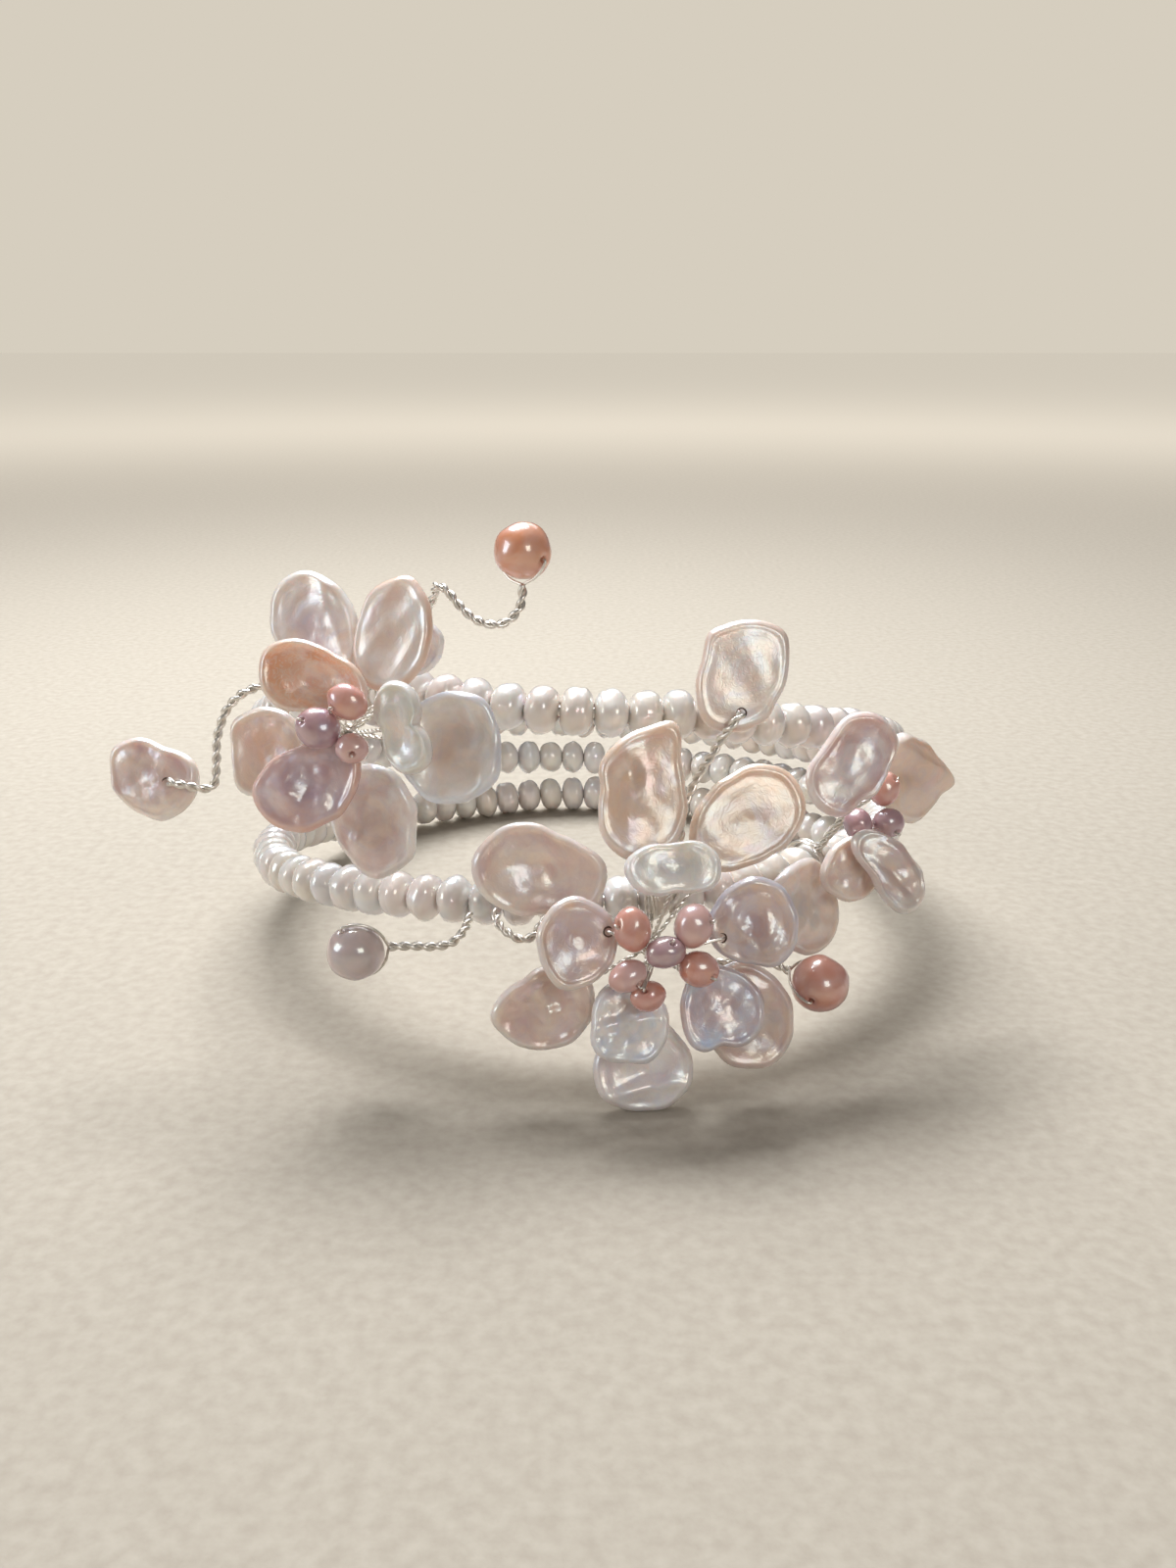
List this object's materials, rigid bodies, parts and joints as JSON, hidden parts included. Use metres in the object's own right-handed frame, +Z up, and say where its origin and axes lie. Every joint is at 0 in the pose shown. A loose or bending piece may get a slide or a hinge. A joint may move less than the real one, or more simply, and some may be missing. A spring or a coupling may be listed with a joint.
{
  "type": "bracelet",
  "caption": "Coil bracelet of cream button pearls on spring wire, with flowers of flat pearl petals round small coral pearls and sprigs of twisted wire.",
  "frame": {"origin": "middle of the bounding box, on the floor that the bracelet lies on", "axes": "+Z up, -Y the way the flowers face, +X to the right as they are looked at"},
  "size_m": [0.0678, 0.0738, 0.0417],
  "materials": {
    "beads": "pearl lustre, cream",
    "petals_lilac": "translucent nacre, lilac",
    "petals_cream": "translucent nacre, cream",
    "petals_peach": "translucent nacre, peach",
    "petals_rose": "translucent nacre, rose",
    "petals_grey": "translucent nacre, silver white",
    "pearls_coral": "pearl lustre, coral",
    "pearls_mauve": "pearl lustre, mauve",
    "wire": "bright, slightly warm"
  },
  "bodies": {
    "root": {"lower_bead_string": "beads", "upper_bead_string": "beads", "flower_1_petal_1": "petals_lilac", "flower_1_petal_2": "petals_cream", "flower_1_petal_3": "petals_grey", "flower_1_petal_4": "petals_peach", "flower_1_petal_5": "petals_cream", "flower_1_petal_6": "petals_rose", "flower_1_petal_7": "petals_rose", "flower_1_petal_8": "petals_grey", "flower_1_petal_9": "petals_lilac", "flower_1_centre_pearl_1": "pearls_mauve", "flower_1_centre_pearl_2": "pearls_coral", "flower_1_centre_pearl_3": "pearls_coral", "flower_1_wire_hub": "wire", "flower_2_petal_1": "petals_peach", "flower_2_petal_2": "petals_peach", "flower_2_petal_3": "petals_cream", "flower_2_petal_4": "petals_grey", "flower_2_petal_5": "petals_rose", "flower_2_petal_6": "petals_cream", "flower_2_petal_7": "petals_grey", "flower_2_petal_8": "petals_grey", "flower_2_petal_9": "petals_lilac", "flower_2_petal_10": "petals_rose", "flower_2_petal_11": "petals_rose", "flower_2_petal_12": "petals_grey", "flower_2_centre_pearl_1": "pearls_coral", "flower_2_centre_pearl_2": "pearls_coral", "flower_2_centre_pearl_3": "pearls_mauve", "flower_2_centre_pearl_4": "pearls_coral", "flower_2_centre_pearl_5": "pearls_coral", "flower_2_centre_pearl_6": "pearls_coral", "flower_2_wire_hub": "wire", "flower_3_petal_1": "petals_lilac", "flower_3_petal_2": "petals_cream", "flower_3_petal_3": "petals_rose", "flower_3_petal_4": "petals_peach", "flower_3_centre_pearl_1": "pearls_coral", "flower_3_centre_pearl_2": "pearls_mauve", "flower_3_centre_pearl_3": "pearls_mauve", "flower_3_wire_hub": "wire", "top_sprig_stem": "wire", "left_sprig_stem": "wire", "middle_sprig_stem": "wire", "lower_sprig_stem": "wire", "right_sprig_stem": "wire", "front_wire_loop": "wire", "top_sprig_pearl": "pearls_coral", "lower_sprig_pearl": "pearls_mauve", "right_sprig_pearl": "pearls_coral", "left_sprig_petal": "petals_grey", "middle_sprig_petal": "petals_cream"}
  },
  "joints": []
}
